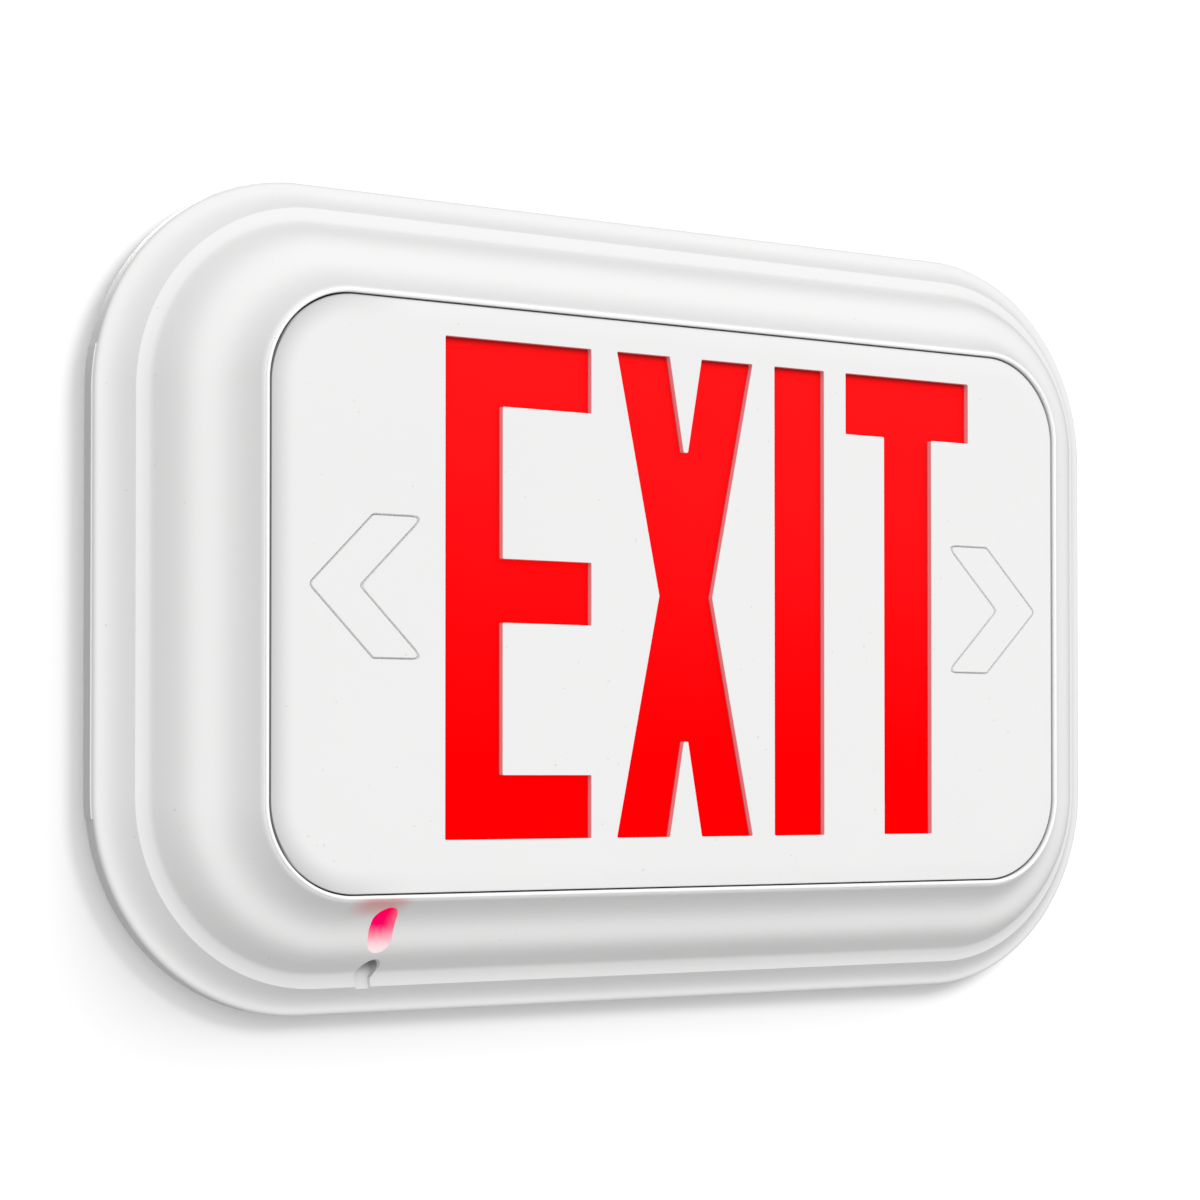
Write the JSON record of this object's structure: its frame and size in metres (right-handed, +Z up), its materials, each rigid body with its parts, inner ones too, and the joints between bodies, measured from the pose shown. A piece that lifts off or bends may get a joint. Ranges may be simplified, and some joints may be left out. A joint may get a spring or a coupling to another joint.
{
  "type": "emergency exit light",
  "caption": "Wall-mounted edge-lit emergency exit sign with stencil face, red lens, moulded ogee bezel, lit test button and battery back-up",
  "frame": {"origin": "centre of the back plate's rear face, on the wall and on the axis of the wiring hole", "axes": "+X to the right as the sign is read, +Y into the wall, +Z up; the face looks along -Y"},
  "size_m": [0.3844, 0.0393, 0.2542],
  "materials": {
    "white_housing": "satin moulded thermoplastic, faintly textured",
    "white_plate": "satin moulded thermoplastic",
    "red_lens": "translucent red acrylic sheet, lit from behind",
    "reflector": "bright white tray",
    "circuit_board": "green solder mask on glass fibre board",
    "white_board": "white solder mask on aluminium backed strip",
    "led_body": "yellow phosphor in a white case",
    "core": "dark core with taped winding",
    "film_case": "cast yellow case",
    "relay_case": "moulded dark case",
    "can": "sleeved aluminium can",
    "terminal": "green moulded terminal block",
    "plug": "natural nylon",
    "cell_wrap": "blue heat shrink sleeve over steel cells",
    "strap": "moulded nylon",
    "button": "translucent pink button, lit from inside",
    "switch_case": "moulded black case",
    "plunger": "moulded black",
    "lamp": "tinted epoxy lamp",
    "screw": "zinc plated steel",
    "lead": "soft vinyl sleeve"
  },
  "bodies": {
    "sign": {"back_plate": "white_plate", "front_housing": "white_housing", "face_plate": "white_housing", "red_diffuser": "red_lens", "light_box": "reflector", "led_board_top": "white_board", "led_board_bottom": "white_board", "leds_top": "led_body", "leds_bottom": "led_body", "control_board": "circuit_board", "switch_board": "circuit_board", "transformer": "core", "film_capacitor": "film_case", "transfer_relay": "relay_case", "smoothing_capacitors": "can", "terminal_block": "terminal", "lead_plugs": "plug", "battery_pack": "cell_wrap", "battery_strap": "strap", "test_switch": "switch_case", "charge_lamp": "lamp", "board_screws": "screw", "light_box_screws": "screw", "battery_leads": "lead", "switch_leads": "lead", "top_lamp_leads": "lead", "bottom_lamp_leads": "lead"},
    "button": {"test_button": "button", "switch_plunger": "plunger"}
  },
  "joints": [
    {"name": "test_press", "type": "slide", "parent": "sign", "child": "button", "axis": [0, 1, 0], "range_m": [0, 0.0012], "stiffness_N_per_m": 900, "springref_m": -0.0012}
  ]
}
